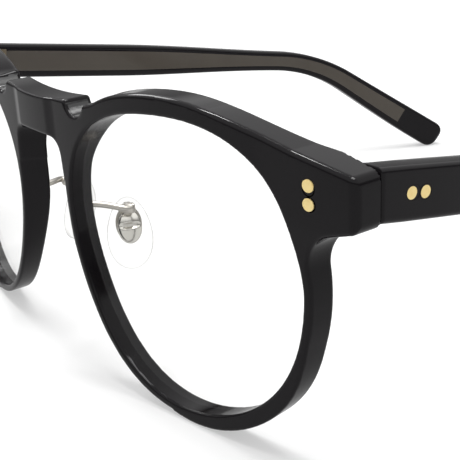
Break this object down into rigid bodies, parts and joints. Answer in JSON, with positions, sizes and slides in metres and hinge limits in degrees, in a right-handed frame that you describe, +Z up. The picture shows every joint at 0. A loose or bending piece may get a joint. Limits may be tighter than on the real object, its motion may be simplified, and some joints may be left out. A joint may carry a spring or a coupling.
{
  "type": "round acetate eyeglasses",
  "caption": "Round full-rim eyeglasses with a thick glossy plastic front, keyhole bridge, riveted hinges, folding temples with curved ear ends, clear lenses and rocking nose pads.",
  "frame": {"origin": "middle of the bounding box's underside, on the table that the open spectacles stand on", "axes": "+X to the right seen from the front, +Y from the front back towards the ears, +Z up"},
  "size_m": [0.1354, 0.1598, 0.0509],
  "materials": {
    "black_acetate": "polished, glossy",
    "clear_lens": "clear, coated",
    "gold_rivet": "polished flush",
    "hinge_metal": "satin",
    "core_metal": "drawn wire",
    "pad_metal": "satin",
    "clear_pad": "clear soft plastic"
  },
  "bodies": {
    "front": {"front_frame": "black_acetate", "lens_left": "clear_lens", "lens_right": "clear_lens", "front_rivets_left": "gold_rivet", "front_rivets_right": "gold_rivet", "front_hinge_left": "hinge_metal", "front_hinge_right": "hinge_metal", "hinge_screw_left": "hinge_metal", "hinge_screw_right": "hinge_metal", "pad_arm_left": "hinge_metal", "pad_arm_right": "hinge_metal", "pad_screw_left": "hinge_metal", "pad_screw_right": "hinge_metal"},
    "temple_left": {"temple_left": "black_acetate", "temple_hinge_left": "hinge_metal", "temple_rivets_left": "gold_rivet", "core_wire_left": "core_metal"},
    "temple_right": {"temple_right": "black_acetate", "temple_hinge_right": "hinge_metal", "temple_rivets_right": "gold_rivet", "core_wire_right": "core_metal"},
    "pad_left": {"nose_pad_left": "clear_pad", "pad_core_left": "pad_metal"},
    "pad_right": {"nose_pad_right": "clear_pad", "pad_core_right": "pad_metal"}
  },
  "joints": [
    {"name": "temple_fold_left", "type": "hinge", "parent": "front", "child": "temple_left", "pos_m": [-0.06092, -0.06603, 0.04196], "axis": [0, 0, -1], "range_deg": [0, 87]},
    {"name": "temple_fold_right", "type": "hinge", "parent": "front", "child": "temple_right", "pos_m": [0.06092, -0.06603, 0.04196], "axis": [0, 0, 1], "range_deg": [0, 77]},
    {"name": "pad_rock_left", "type": "hinge", "parent": "front", "child": "pad_left", "pos_m": [-0.00996, -0.06882, 0.02658], "axis": [-0.4067, 0.913, 0.0303], "range_deg": [-8, 8]},
    {"name": "pad_rock_right", "type": "hinge", "parent": "front", "child": "pad_right", "pos_m": [0.00996, -0.06882, 0.02658], "axis": [0.4067, 0.913, 0.0303], "range_deg": [-8, 8]}
  ]
}
